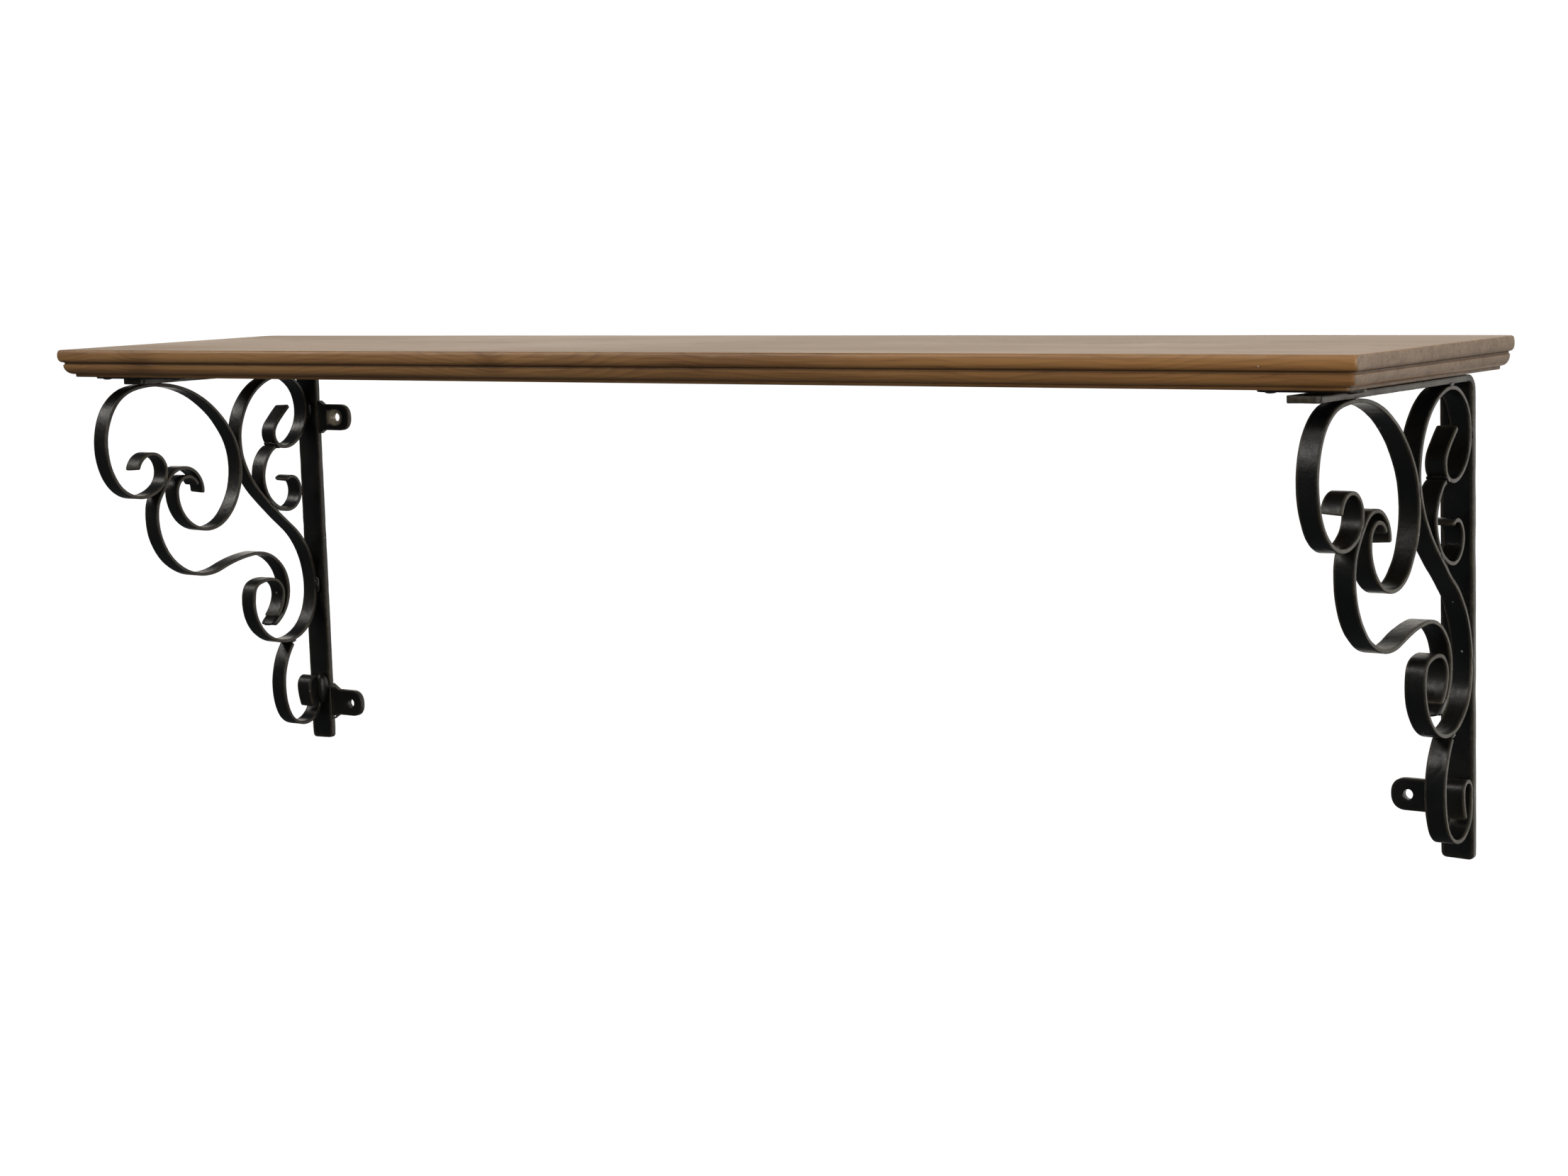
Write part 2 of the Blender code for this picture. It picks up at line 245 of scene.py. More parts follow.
# Fields of noise in the pine: features a metre along X, Y and Z, so that 1300
# is 0.8 mm, then detail, roughness, and 1 for a field that is moved away from
# the one before it.
PINE_FIELDS = {
    "wander": ((2.4, 4.0, 4.0), 2.0, 0.55, 0),
    "rise": ((3.1, 7.0, 7.0), 3.0, 0.55, 1),
    "fibre": ((14.0, 1300.0, 1300.0), 4.0, 0.55, 0),  # 70 x 0.8 mm
    "streak": ((3.2, 210.0, 210.0), 5.0, 0.6, 0),  # 310 x 5 mm
    "cloud": ((4.5, 14.0, 30.0), 3.0, 0.55, 0),  # 220 x 70 x 30 mm
    "pores": ((700.0, 700.0, 700.0), 2.0, 0.55, 0),  # 1.4 mm
    "blotch": ((90.0, 90.0, 90.0), 3.0, 0.55, 0),  # 11 mm
    "patch": ((25.0, 90.0, 90.0), 4.0, 0.55, 0),  # 40 x 11 mm
}
RING_GAP = 3.9 * MM
KNOTS = (  # x, y, z and half width in metres
    (-0.515, -0.252, 0.004, 0.011),
    (-0.115, -0.253, 0.003, 0.008),
    (0.36, -0.12, 0.012, 0.012),
    (-0.27, -0.07, 0.012, 0.009),
)
KNOT_SHAPE = 0.55  # a knot's width over its length, along the grain


def stained_pine(plank):
    """Flat-sawn pine, planed, stained walnut brown and waxed: satin.

    Growth rings are shells round a pith line far under the plank that wanders
    along it, so they show as long arches on the top and as near-level lines
    on the edges. Late wood takes the stain darker.
    """
    material, tree, where = new_material("stained_pine_waxed")
    field = {}
    for name, (stretch, detail, rough, moved) in PINE_FIELDS.items():
        place = (7.3 * moved, 0.0, 2.0 * moved)
        spot = {"Vector": where, "Scale": stretch, "Location": place}
        spot = add(tree, "Mapping", {}, spot)
        shape = {"Vector": spot, "Scale": 1.0, "Detail": detail, "Roughness": rough}
        field[name] = add(tree, "TexNoise", {}, shape)

    # The pith lies some 0.2 m down and wanders by a few centimetres.
    wander = add(tree, "Math", TIMES, (field["wander"], 0.12))
    rise = add(tree, "Math", TIMES, (field["rise"], 0.055))
    shift = add(tree, "CombineXYZ", {}, (0.0, wander, rise))
    pith = add(tree, "VectorMath", PLUS, (where, shift))
    shell = {"Vector": pith, "Scale": (0.0, 1.0, 1.0), "Location": (0.0, 0.06, 0.18)}
    shell = add(tree, "Mapping", {}, shell)
    radius = add(tree, "VectorMath", {"operation": "LENGTH"}, (shell,), "Value")

    # Knots push the rings aside.
    flat = {"Vector": where, "Scale": (KNOT_SHAPE, 1.0, 1.0)}
    flat = add(tree, "Mapping", {}, flat)
    knot = 0.0
    for x, y, z, wide in KNOTS:
        ends = (flat, (KNOT_SHAPE * x, y, z))
        gap = add(tree, "VectorMath", {"operation": "DISTANCE"}, ends, "Value")
        near = add(tree, "MapRange", SMOOTH, (gap, 2.0 * wide, 0.0))
        knot = add(tree, "Math", {"operation": "MAXIMUM"}, (knot, near))
    radius = add(tree, "Math", TIMES_PLUS, (knot, 5.0 * MM, radius))
    count = add(tree, "Math", {"operation": "DIVIDE"}, (radius, RING_GAP))
    ring = add(tree, "Math", {"operation": "FRACT"}, (count,))
    # Early wood is pale, late wood darkens slowly and ends sharply.
    late = add(tree, "ValToRGB", {}, (ring,))
    stops = late.node.color_ramp.elements
    stops.new(0.5)
    stops.new(0.84)
    for stop, shade in zip(stops, (0.1, 0.3, 1.0, 0.15)):
        stop.color = (shade, shade, shade, 1.0)

    tone = add(tree, "Math", TIMES, (late, 0.34))
    for name, low, high, least, most in (
        ("streak", 0.34, 0.68, -0.16, 0.36),
        ("fibre", 0.32, 0.7, -0.10, 0.16),
        ("cloud", 0.3, 0.7, -0.16, 0.24),
    ):
        share = add(tree, "MapRange", SMOOTH, (field[name], low, high, least, most))
        tone = add(tree, "Math", PLUS, (tone, share))
    tone = add(tree, "Math", {**TIMES_PLUS, "use_clamp": True}, (knot, 0.5, tone))

    # Shares of the surface: its right end, partly painted lighter as if lit; its end
    # grain, painted a pale grey sheen; and its top, paler with dust and a painted sheen.
    place = add(tree, "SeparateXYZ", {}, (where,), "X")
    # Share that paints the right end lighter and warmer: painted light from the right,
    # with a warmer tone.
    lit_and_warm_right = add(tree, "MapRange", SMOOTH, (place, -0.1, 0.6, 0.0, 0.6))
    normal = add(tree, "NewGeometry", {}, (), "Normal")
    facing = add(tree, "SeparateXYZ", {}, (normal,)).node.outputs
    ends = add(tree, "Math", {"operation": "ABSOLUTE"}, (facing["X"],))
    end = add(tree, "MapRange", SMOOTH, (ends, 0.5, 0.85))
    # The end faces are painted pale grey: a painted sheen of light from the right.
    end_sheen_share = add(tree, "Math", TIMES, (end, 0.9))
    # The top is painted paler: partly dust and wear, partly a painted sheen.
    up = add(tree, "MapRange", SMOOTH, (facing["Z"], 0.75, 0.98))
    top_wear_and_sheen = add(tree, "MapRange", SMOOTH, (field["cloud"], 0.35, 0.7, 0.5, 0.72))
    top_dust_and_sheen_share = add(tree, "Math", TIMES, (up, top_wear_and_sheen))
    end_tone = add(tree, "Math", TIMES, (tone, 0.3))
    for name in ("pores", "blotch"):
        share = add(tree, "MapRange", SMOOTH, (field[name], 0.3, 0.7, 0.0, 0.4))
        end_tone = add(tree, "Math", PLUS, (end_tone, share))

    # The mesh marks painted shade in the quirk, under the nose and at the foot and back of
    # the edge, and the arrises, rubbed raw.
    painted_shade = add(tree, "Attribute", {"attribute_name": "painted_shade"}, (), "Fac")
    painted_shade = add(tree, "Math", TIMES, (painted_shade, 0.85))
    raw = add(tree, "Attribute", {"attribute_name": "arris"}, (), "Fac")
    patch = add(tree, "MapRange", SMOOTH, (field["patch"], 0.55, 0.66, 0.0, 0.5))
    raw = add(tree, "Math", TIMES, (raw, patch))
    # Flecks of old paint, 1.2 to 1.8 mm across, far apart.
    cells = {"Vector": where, "Scale": 26.0, "Randomness": 1.0}
    fleck = add(tree, "TexVoronoi", {"feature": "F1"}, cells, "Distance")
    fleck = add(tree, "MapRange", SMOOTH, (fleck, 0.024, 0.015))

    # Each layer covers its share of the wood, from its pale colour to its deep
    # one by the tone, and then come the layers of one colour.
    wood = linear(plank.light_stain)
    for share, shading, pale, deep in (
        (1.0, tone, plank.light_stain, plank.dark_stain),
        # Right end: painted light, with a warmer tone.
        (lit_and_warm_right, tone, "A87742", "754E29"),  # warmer toward the right end
        # End grain: a painted pale grey sheen of light.
        (end_sheen_share, end_tone, "96836F", "6A5A4C"),  # end grain, greyer
        # Top: dust and wear, with a painted sheen.
        (top_dust_and_sheen_share, tone, "B59B80", "9A8065"),  # top, paler with use and dust
    ):
        colours = {0: shading, 6: linear(pale), 7: linear(deep)}
        layer = add(tree, "Mix", BLEND, colours, RESULT)
        wood = add(tree, "Mix", BLEND, {0: share, 6: wood, 7: layer}, RESULT)
    # First the painted shade, in 241709; then the raw arrises and the flecks.
    for share, colour in ((painted_shade, "241709"), (raw, "A58763"), (fleck, "D9D2C4")):
        layer = linear(colour)
        wood = add(tree, "Mix", BLEND, {0: share, 6: wood, 7: layer}, RESULT)

    rough = add(tree, "MapRange", SMOOTH, (field["cloud"], 0.3, 0.7, 0.42, 0.5))
    rough = add(tree, "Math", TIMES_PLUS, (end, 0.2, rough))
    height = add(tree, "Math", TIMES, (field["fibre"], 0.5))
    height = add(tree, "Math", TIMES_PLUS, (late, 0.35, height))
    height = add(tree, "Math", TIMES_PLUS, (field["streak"], 0.6, height))
    relief = {"Height": height, "Strength": 0.35, "Distance": 0.12 * MM}
    relief = add(tree, "Bump", {}, relief)
    skin = {"Base Color": wood, "Roughness": rough, "IOR": 1.5, "Normal": relief}
    return skinned(material, skin)


# Fields of noise in the enamel: features a metre, detail and roughness.
ENAMEL_FIELDS = {
    "lumps": (160.0, 4.0, 0.6),  # 6 mm
    "fine": (900.0, 3.0, 0.6),  # 1 mm
    "broad": (28.0, 3.0, 0.55),  # 35 mm
    "patch": (40.0, 4.0, 0.55),  # 25 mm
}


def enamelled_iron(iron, name, bare=False):
    """Black enamel brushed on wrought bar: glossy, lumpy, rubbed at the arrises.

    With `bare`, the metal shows where the mesh's mark of that name says.
    """
    material, tree, where = new_material(name)
    field = {}
    for key, (scale, detail, rough) in ENAMEL_FIELDS.items():
        shape = {"Vector": where, "Scale": scale, "Detail": detail, "Roughness": rough}
        field[key] = add(tree, "TexNoise", {}, shape)

    # Arrises rubbed to brown primer and grey metal, in runs; this light line along the
    # arrises is also a painted highlight.
    arris = add(tree, "Attribute", {"attribute_name": "arris"}, (), "Fac")
    patch = add(tree, "MapRange", SMOOTH, (field["patch"], 0.34, 0.62, 0.35, 1.0))
    grit = add(tree, "MapRange", SMOOTH, (field["fine"], 0.32, 0.6, 0.7, 1.0))
    rub = add(tree, "Math", TIMES, (arris, patch))
    rub = add(tree, "Math", {**TIMES, "use_clamp": True}, (rub, grit))
    rub_and_highlight_share = add(tree, "Math", TIMES, (rub, 0.7))

    # Chips of 1.5 to 2 mm, with ragged edges, that show light metal and also serve as
    # painted glints.
    cells = {"Vector": where, "Scale": 42.0, "Randomness": 1.0}
    chip = add(tree, "TexVoronoi", {"feature": "F1"}, cells, "Distance")
    ragged = add(tree, "Math", TIMES_PLUS, (field["fine"], 0.05, -0.025))
    chip = add(tree, "Math", PLUS, (chip, ragged))
    chip = add(tree, "MapRange", SMOOTH, (chip, 0.042, 0.03))
    chip_and_glint_share = add(tree, "Math", TIMES, (chip, 0.8))

    old = add(tree, "MapRange", SMOOTH, (field["broad"], 0.35, 0.7))
    paints = {0: old, 6: linear(iron.paint), 7: linear("0C0B08")}
    colour = add(tree, "Mix", BLEND, paints, RESULT)
    primer = add(tree, "MapRange", SMOOTH, (field["lumps"], 0.4, 0.6))
    metals = {0: primer, 6: linear(iron.worn_edge_and_highlight), 7: linear("4A4238")}
    worn = add(tree, "Mix", BLEND, metals, RESULT)
    layers = [(rub_and_highlight_share, worn), (chip_and_glint_share, linear("8E9092"))]
    if bare:
        clean = add(tree, "Attribute", {"attribute_name": "bare"}, (), "Fac")
        layers.append((clean, linear("A89F8A")))
    for share, layer in layers:
        colour = add(tree, "Mix", BLEND, {0: share, 6: colour, 7: layer}, RESULT)

    rough = add(tree, "MapRange", SMOOTH, (field["broad"], 0.3, 0.7, 0.28, 0.42))
    rough = add(tree, "Math", TIMES_PLUS, (rub, 0.18, rough))
    grit = add(tree, "MapRange", SMOOTH, (field["fine"], 0.3, 0.7, -0.03, 0.05))
    rough = add(tree, "Math", PLUS, (rough, grit))
    metal = add(tree, "Math", {**TIMES, "use_clamp": True}, (rub, 0.5))
    height = add(tree, "Math", TIMES_PLUS, (field["fine"], 0.12, field["lumps"]))
    height = add(tree, "Math", TIMES_PLUS, (chip, -0.2, height))
    relief = {"Height": height, "Strength": 0.5, "Distance": 0.35 * MM}
    relief = add(tree, "Bump", {}, relief)
    skin = {"Base Color": colour, "Roughness": rough, "Metallic": metal}
    return skinned(material, {**skin, "IOR": 1.52, "Normal": relief})


def zinc_plate():
    """Zinc-plated steel screws: grey metal, faintly cloudy over 1.7 mm."""
    material, tree, where = new_material("zinc_plated_steel")
    shape = {"Vector": where, "Scale": 600.0, "Detail": 3.0, "Roughness": 0.55}
    cloud = add(tree, "TexNoise", {}, shape)
    share = add(tree, "MapRange", SMOOTH, (cloud, 0.3, 0.7))
    colours = {0: share, 6: linear("6A6964"), 7: linear("3E3B36")}
    colour = add(tree, "Mix", BLEND, colours, RESULT)
    rough = add(tree, "MapRange", SMOOTH, (cloud, 0.3, 0.7, 0.28, 0.5))
    skin = {"Base Color": colour, "Roughness": rough, "Metallic": 1.0}
    return skinned(material, skin)


def studio_paper():
    """White paper, matt and faintly uneven, that glows so that it stays white."""
    material, tree, where = new_material("white_studio_paper")
    shape = {"Vector": where, "Scale": 2.0, "Detail": 2.0, "Roughness": 0.55}
    cloud = add(tree, "TexNoise", {}, shape)
    share = add(tree, "MapRange", SMOOTH, (cloud, 0.3, 0.7))
    colours = {0: share, 6: linear("F2F1EF"), 7: linear("F8F8F7")}
    skin = {
        "Base Color": add(tree, "Mix", BLEND, colours, RESULT),
        "Roughness": 0.9,
        "Specular IOR Level": 0.1,
        "Emission Color": (1.0, 1.0, 1.0, 1.0),
        "Emission Strength": 1.0,
    }
    return skinned(material, skin)


# ---- meshes

def grid_mesh(name, points, wrap_rows=False, caps=False, marks=None):
    """A mesh through an (m, n, 3) grid whose columns close on themselves.

    `wrap_rows` closes the rows too, `caps` fills the first and last ring, and
    `marks` are float attributes of shape (m, n). Faces are turned outward by
    the sign of the volume they enclose.
    """
    m, n = points.shape[:2]
    index = np.arange(m * n).reshape(m, n)
    right = np.roll(index, -1, axis=1)
    below, below_right = np.roll(index, -1, axis=0), np.roll(right, -1, axis=0)
    used = slice(None) if wrap_rows else slice(m - 1)
    quads = np.stack([index, right, below_right, below], -1)[used].reshape(-1, 4)
    flat = points.reshape(-1, 3)
    middle = flat.mean(0)
    a, b, c, d = (flat[quads[:, k]] - middle for k in range(4))
    volume = (np.cross(a, b) * c).sum() + (np.cross(a, c) * d).sum()
    faces = quads.tolist()
    if caps:
        faces += [index[0][::-1].tolist(), index[-1].tolist()]
    if volume < 0:
        faces = [face[::-1] for face in faces]
    mesh = bpy.data.meshes.new(name)
    mesh.from_pydata(flat.tolist(), [], faces)
    for key, values in (marks or {}).items():
        attribute = mesh.attributes.new(key, "FLOAT", "POINT")
        attribute.data.foreach_set("value", values.reshape(-1).astype(np.float32))
    mesh.shade_smooth()
    return mesh


def add_piece(name, mesh, material, nodes=(), sharp=None):
    """Put the mesh in the scene, riding on the shelf's one body."""
    if sharp is not None:
        mesh.set_sharp_from_angle(angle=math.radians(sharp))
    mesh.materials.append(material)
    piece = bpy.data.objects.new(name, mesh)
    bpy.context.scene.collection.objects.link(piece)
    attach(piece, "root")
    if nodes:
        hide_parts(*nodes)


def ripple(rng, count, lengths, *coordinates):
    """Smooth unevenness from -1 to 1: a sum of sines across the coordinates."""
    total = 0.0
    for _ in range(count):
        length = rng.uniform(*lengths)
        way = rng.normal(size=len(coordinates))
        way *= 2 * math.pi / (length * np.linalg.norm(way))
        phase = rng.uniform(0, 2 * math.pi)
        total = total + np.sin(sum(w * c for w, c in zip(way, coordinates)) + phase)
    return total / math.sqrt(count)


def stations(total, spacing, close):
    """Distances along a bar, crowded like a cosine over `close` at each end."""
    near = close * (1 - np.cos(np.linspace(0, 0.5 * math.pi, 9)))
    count = int((total - 2 * close) / spacing) + 2
    middle = np.linspace(close, total - close, count)[1:-1]
    return np.concatenate([near, middle, total - near[::-1]])


def bent_line(line, spacing):
    """Centre line of arcs as arrays (along, y, z, direction), in metres.

    The direction at a point is the mean, over half the ease on both sides, of
    the bare arcs' direction; y and z are the running sums of its cosine and
    sine.
    """
    start, heading, bends = line
    radii, turns = np.array(bends, float).T
    lengths = radii * np.radians(np.abs(turns))
    knots = np.concatenate([[0], np.cumsum(lengths)])
    turned = np.concatenate([[0], np.cumsum(np.radians(turns))])
    total = knots[-1]
    fine = np.linspace(0, total, int(total / 0.1) + 1)
    bare = np.interp(fine, knots, turned)
    step = np.diff(fine)
    area = np.concatenate([[0], np.cumsum(0.5 * (bare[1:] + bare[:-1]) * step)])
    reach = np.minimum(np.minimum(fine, total - fine), 0.5 * EASE)
    inside = reach > 1e-6
    wide = np.where(inside, 2 * reach, 1.0)
    ahead = np.interp(fine + reach, fine, area)
    behind = np.interp(fine - reach, fine, area)
    direction = math.radians(heading) + np.where(inside, (ahead - behind) / wide, bare)
    middle = 0.5 * (direction[1:] + direction[:-1])
    y = start[0] + np.concatenate([[0], np.cumsum(np.cos(middle) * step)])
    z = start[1] + np.concatenate([[0], np.cumsum(np.sin(middle) * step)])
    along = stations(total, spacing, 3.0)
    y, z, direction = (np.interp(along, fine, v) for v in (y, z, direction))
    return along * MM, y * MM, z * MM + UNDERSIDE, direction


def bar_section(width, thick, edge):
    """Rounded rectangle as arrays (across, through, nearness to an arris)."""
    hw, ht = 0.5 * width - edge, 0.5 * thick - edge
    turns = np.linspace(0, 0.5 * math.pi, 5)
    rows = []
    for quarter, (sx, sy) in enumerate(((1, 1), (-1, 1), (-1, -1), (1, -1))):
        a = turns + 0.5 * math.pi * quarter
        corner = sx * hw + edge * np.cos(a), sy * ht + edge * np.sin(a)
        rows.append([*corner, np.ones(5)])
        wide = quarter % 2 == 0
        t = np.linspace(0, 1, 11 if wide else 4)[1:-1]
        run = np.minimum(t, 1 - t) * 2 * (hw if wide else ht)
        worn = np.clip(1 - run / (1.2 * MM), 0, 1) ** 1.5
        if wide:
            rows.append([sx * hw * (1 - 2 * t), 0 * t + sy * (ht + edge), worn])
        else:
            # The side faces keep a faint share all over: a painted sheen as well as wear.
            worn = np.maximum(worn, 0.12)
            rows.append([0 * t + sx * (hw + edge), sy * ht * (1 - 2 * t), worn])
    return np.concatenate(rows, axis=1)


def swept_bar(name, line, width, thick, centre_x, hammer, seed, end_round, edge):
    """Flat bar carried along a line in the plane of the bracket.

    point = line + across * X + through * normal, both of the rounded section,
    narrowed near each cut end by a quarter circle and swelled by the forge
    marks, a sum of sines along and round the bar.
    """
    along, y, z, direction = line
    rng = np.random.default_rng(seed)
    across, through, near = bar_section(width, thick, edge)
    total = along[-1]
    from_end = np.minimum(along, total - along)
    ease = np.clip(1 - from_end / end_round, 0, 1)
    less = end_round * (1 - np.sqrt(np.clip(1 - ease**2, 0, 1)))
    soft = 0.7 * MM
    thin = np.clip(1 - from_end / soft, 0, 1)
    thinner = 0.45 * MM * (1 - np.sqrt(np.clip(1 - thin**2, 0, 1)))
    share_w = (0.5 * width - less) / (0.5 * width)
    share_t = (0.5 * thick - thinner) / (0.5 * thick)
    a = across[None, :] * share_w[:, None]
    b = through[None, :] * share_t[:, None]
    s = along[:, None] + 0 * a
    marks = ripple(rng, 7, (14 * MM, 45 * MM), s, 1.4 * a)
    small = ripple(rng, 6, (4 * MM, 9 * MM), s, a)
    face = np.sign(b) * (np.abs(b) > 0.35 * thick)
    rise = hammer * (0.35 * marks + 0.22 * small)
    b = b + face * np.minimum(rise, 0.12 * MM)
    wobble = hammer * 1.3 * ripple(rng, 5, (18 * MM, 60 * MM), s, 0 * a)
    a = a + np.sign(a) * np.minimum(wobble, 0.0)
    cut = rng.uniform(-0.07, 0.07, 2)  # the shears never cut quite square
    first_half = along < 0.5 * total
    skew = np.where(first_half, cut[0], cut[1]) * np.exp(-from_end / (6 * MM))
    inward = np.where(first_half, 1.0, -1.0)[:, None]
    shift = skew[:, None] * a + inward * 0.5 * width * np.abs(skew)[:, None]
    cos, sin = np.cos(direction)[:, None], np.sin(direction)[:, None]
    y = np.minimum(y[:, None] - b * sin + shift * cos, 0.0)
    z = z[:, None] + b * cos + shift * sin
    points = np.stack([centre_x + a, y, z], -1)
    end_mark = np.exp(-from_end / (1.5 * MM))[:, None]
    mark = np.clip(np.maximum(near[None, :] + 0 * a, end_mark), 0, 1)
    return grid_mesh(name, points, caps=True, marks={"arris": mark})


# ---- plank

def plan_ring(inset, back, corners, spacing):
    """Plan outline of the plank, counter-clockwise from the back right.

    Straight runs and quarter circles; `inset` moves the front and the ends in,
    `back` moves the back edge in, and the count of points never changes.
    """
    half = 0.5 * (BOARD_HIGH.x - BOARD_LOW.x)
    depth = BOARD_HIGH.y - BOARD_LOW.y
    x, front = half - inset, inset - depth
    signs = ((1, 1), (-1, 1), (-1, -1), (1, -1))
    arcs = []
    for k, (r, (sx, sy)) in enumerate(zip(corners, signs)):
        a = 0.5 * math.pi * (k + np.linspace(0, 1, 7))
        y = -back if sy > 0 else front
        arcs.append(
            np.array([sx * (x - r) + r * np.cos(a), y - sy * r + r * np.sin(a)])
        )
    pieces = []
    for k, arc in enumerate(arcs):
        count = int((depth if k % 2 else 2 * half) / spacing)
        t = np.linspace(0, 1, count + 2)[1:-1]
        last, following = arc[:, -1:], arcs[(k + 1) % 4][:, :1]
        pieces += [arc, last + (following - last) * t]
    return np.concatenate(pieces, axis=1)


def moulding_rows(plank):
    """Edge section from the underside to the top: (inset, height, painted shade, arris).
    Painted shade darkens the fillet, the quirk and the underside of the nose.

    A fillet, the ovolo as a quarter ellipse, the quirk, and the nose as two
    quarters of a superellipse, deeper below than above.
    """
    thick = BOARD_HIGH.z - BOARD_LOW.z
    foot, crest = 2.6 * MM, 10.7 * MM
    rows = []
    fillet = plank.ovolo + 0.6 * MM
    # The fillet at the foot of the edge takes painted shade.
    for inset, height in ((0.9, 0.0), (0.3, 0.12), (0.0, 0.6), (0.0, 1.6), (0.0, 2.3)):
        rows.append((fillet + inset * MM, height * MM, 0.45, 0.0))
    for a in np.radians(np.linspace(90, 0, 13)):
        inset = plank.quirk + (plank.ovolo - plank.quirk) * (1 - math.cos(a))
        rows.append((inset, crest - (crest - foot) * math.sin(a), 0.0, 0.0))
    # The quirk's wall, darkest in painted shade.
    deep = plank.quirk + 0.15 * MM
    rows += [
        (deep + 0.2 * MM, 11.0 * MM, 0.45, 0.0),
        (deep + 0.7 * MM, 11.5 * MM, 0.6, 0.0),
        (deep + 0.9 * MM, 12.1 * MM, 0.7, 0.0),
        (deep + 0.7 * MM, 12.7 * MM, 0.9, 0.0),
        (deep, 13.05 * MM, 1.0, 0.0),
    ]
    low, deep_top = 13.2 * MM, 2.3 * MM
    # The underside of the nose, which faces down, takes painted shade.
    for t in np.linspace(-0.985, 0.99, 22):  # the nose, a lopsided half round
        depth = plank.quirk - 0.3 * MM if t < 0 else deep_top
        power = 2.1 if t < 0 else 2.5
        inset = depth * (1 - (1 - abs(t) ** power) ** (1 / power))
        height = low + (thick - low) * 0.5 * (1 + t)
        rows.append((inset, height, 0.5 * max(0.0, -t - 0.5), max(0.0, t - 0.5) * 2))
    rows.append((deep_top + 0.9 * MM, thick, 0.0, 0.6))
    return rows


def plank_mesh(plank):
    """Closed skin of the plank: rings of its plan, carried round its section.

    The rings start as a line along the middle of the underside, grow to the
    outline, climb the moulding and shrink to a line along the top. Dents are
    soft bells pushed into the arrises, and the edges waver by a sum of sines.
    """
    depth = BOARD_HIGH.y - BOARD_LOW.y
    middle = 0.5 * depth
    rng = np.random.default_rng(11)
    corners = np.array([4.0, 7.0, 3.0, 3.0]) * MM  # back right, back left, front
    under = [(middle, middle), (0.1, 0.09), (0.06, 0.05), (0.03, 0.02), (0.018, 0.004)]
    top = [(0.004, 0.0015), (0.008, 0.004), (0.02, 0.01), (0.05, 0.03), (0.09, 0.07),
           (middle, middle)]
    thick = BOARD_HIGH.z - BOARD_LOW.z
    rows = [(i, b, 0.0, 0.3, 0.0, 0.0) for i, b in under]
    for inset, height, painted_shade, arris in moulding_rows(plank):
        soft = max(0.0, 1.0 * MM - height, height - thick + 1.0 * MM)
        back = 1.0 * MM - math.sqrt(max(0.0, (1.0 * MM) ** 2 - soft**2))
        rows.append((inset, back, height, painted_shade, arris, 1.0))
    rows += [(i, b, thick, 0.0, 0.3 * (i < 0.006), 0.0) for i, b in top]
    rows = np.array(rows)
    _, back, height, painted_shade, arris, on_edge = rows.T[:, :, None]
    rings = []
    for inset, back_inset in rows[:, :2]:
        used = corners * (1e-6 if inset == middle else 1.0)
        rings.append(plan_ring(inset, back_inset, used, 2.6 * MM))
    x, y = np.stack(rings, axis=1)
    z = height + 0 * x
    # Faint painted shade along the back of the edge, against the wall.
    painted_shade = np.where((on_edge > 0) & (y > -back - 0.5 * MM), 0.2, painted_shade)
    marks = {"painted_shade": painted_shade, "arris": arris + 0 * x}
    waver = ripple(rng, 6, (0.05, 0.3), x, y)
    waver = waver + 0.5 * ripple(rng, 6, (0.012, 0.05), x, y)
    push = 0.14 * MM * np.clip(waver + 1.0, 0, 2.2) * on_edge
    for _ in range(46):  # dents along the top and bottom arrises of the nose
        side = rng.uniform()
        cx = rng.uniform(x.min(), x.max())
        cy = -depth if side < 0.7 else rng.uniform(-depth, 0)
        cx = cx if side < 0.7 else (x.max() if side < 0.85 else x.min())
        cz = rng.choice([thick, thick, 13.3 * MM, 9.0 * MM])
        wide = rng.uniform(1.6, 6.0) * MM
        tall = rng.uniform(1.2, 2.4) * MM
        bell = np.exp(
            -((x - cx) ** 2 + (y - cy) ** 2) / wide**2 - ((z - cz) / tall) ** 2
        )
        push = push + plank.worn * rng.uniform(0.4, 1.0) * bell * on_edge
    lengthwise = np.abs(y + middle) > middle - 12 * MM
    x = x - np.where(lengthwise, 0, np.sign(x)) * push
    y = y - np.where(lengthwise, np.sign(y + middle), 0) * push
    hollow = 0.10 * MM * (ripple(rng, 8, (0.1, 0.5), x, 3 * y) - 1.2)
    z = z + np.where((z > thick - 0.05 * MM) & (on_edge == 0), np.minimum(hollow, 0), 0)
    points = np.stack([x, np.minimum(y, 0.0), z + BOARD_LOW.z], -1)
    return grid_mesh("shelf_plank", points, marks=marks)


def merge_doubles(mesh, distance=0.002 * MM):
    """Join points closer than the distance, and drop the faces that vanish."""
    bm = bmesh.new()
    bm.from_mesh(mesh)
    bmesh.ops.remove_doubles(bm, verts=bm.verts, dist=distance)
    bmesh.ops.dissolve_degenerate(bm, edges=bm.edges, dist=distance)
    bm.to_mesh(mesh)
    bm.free()


# ---- small pieces

